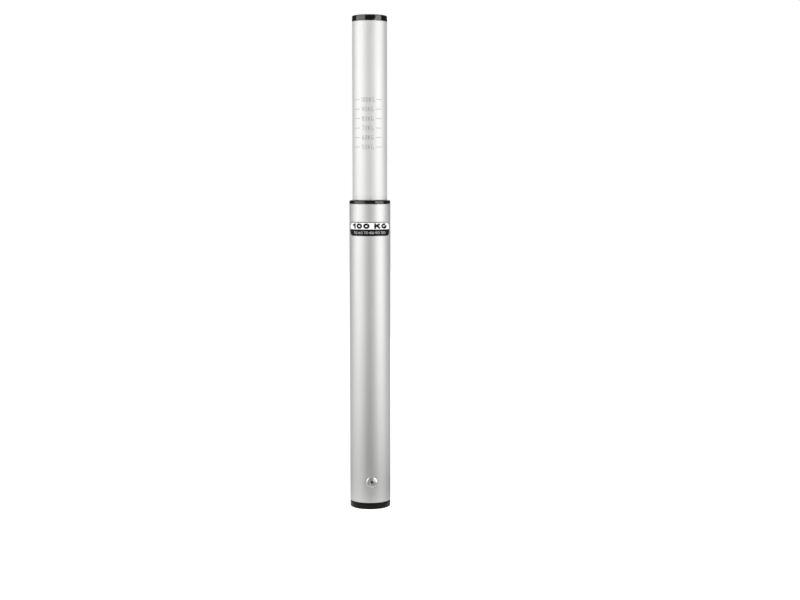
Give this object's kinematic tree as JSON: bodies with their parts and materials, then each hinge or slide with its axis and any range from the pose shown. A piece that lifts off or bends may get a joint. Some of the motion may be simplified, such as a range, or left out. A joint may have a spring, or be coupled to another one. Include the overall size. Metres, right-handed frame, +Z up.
{
  "type": "trailer nose weight gauge",
  "caption": "Upright spring gauge with telescoping aluminium tubes, black end plugs and a guide collar, which reads the load that a trailer's coupling puts on its top.",
  "frame": {"origin": "centre of the foot's underside, on the tubes' common axis", "axes": "+Z up along the tubes, -Y towards the side with the scale, the label and the front rivet, +X to that side's right"},
  "size_m": [0.035, 0.0384, 0.4193],
  "materials": {
    "anodised_aluminium": "satin silver anodised, with a fine drawn grain along the tube",
    "black_plastic": "semi-gloss moulded black",
    "rivet_aluminium": "bright",
    "mandrel_steel": "dark, with a broken end",
    "zinc_steel": "bright zinc plate",
    "spring_steel": "oiled drawn wire",
    "label_vinyl": "satin vinyl, white above and black below"
  },
  "bodies": {
    "housing": {"outer_tube": "anodised_aluminium", "foot_plug": "black_plastic", "front_rivet": "rivet_aluminium", "front_mandrel": "mandrel_steel", "rear_rivet": "rivet_aluminium", "rear_mandrel": "mandrel_steel", "lower_washer": "zinc_steel", "spring": "spring_steel", "guide_bush": "black_plastic", "label": "label_vinyl"},
    "spring_seat": {"upper_washer": "zinc_steel"},
    "plunger": {"piston_plug": "black_plastic", "piston_pin": "zinc_steel", "inner_tube": "anodised_aluminium", "top_plug": "black_plastic"}
  },
  "joints": [
    {"name": "load_slide", "type": "slide", "parent": "housing", "child": "spring_seat", "axis": [0, 0, -1], "range_m": [0, 0.092], "stiffness_N_per_m": 11400, "springref_m": -0.0005, "deforming": ["spring"]},
    {"name": "plunger_swivel", "type": "hinge", "parent": "spring_seat", "child": "plunger", "pos_m": [0, 0, 0.2183], "axis": [0, 0, 1], "continuous": true}
  ]
}
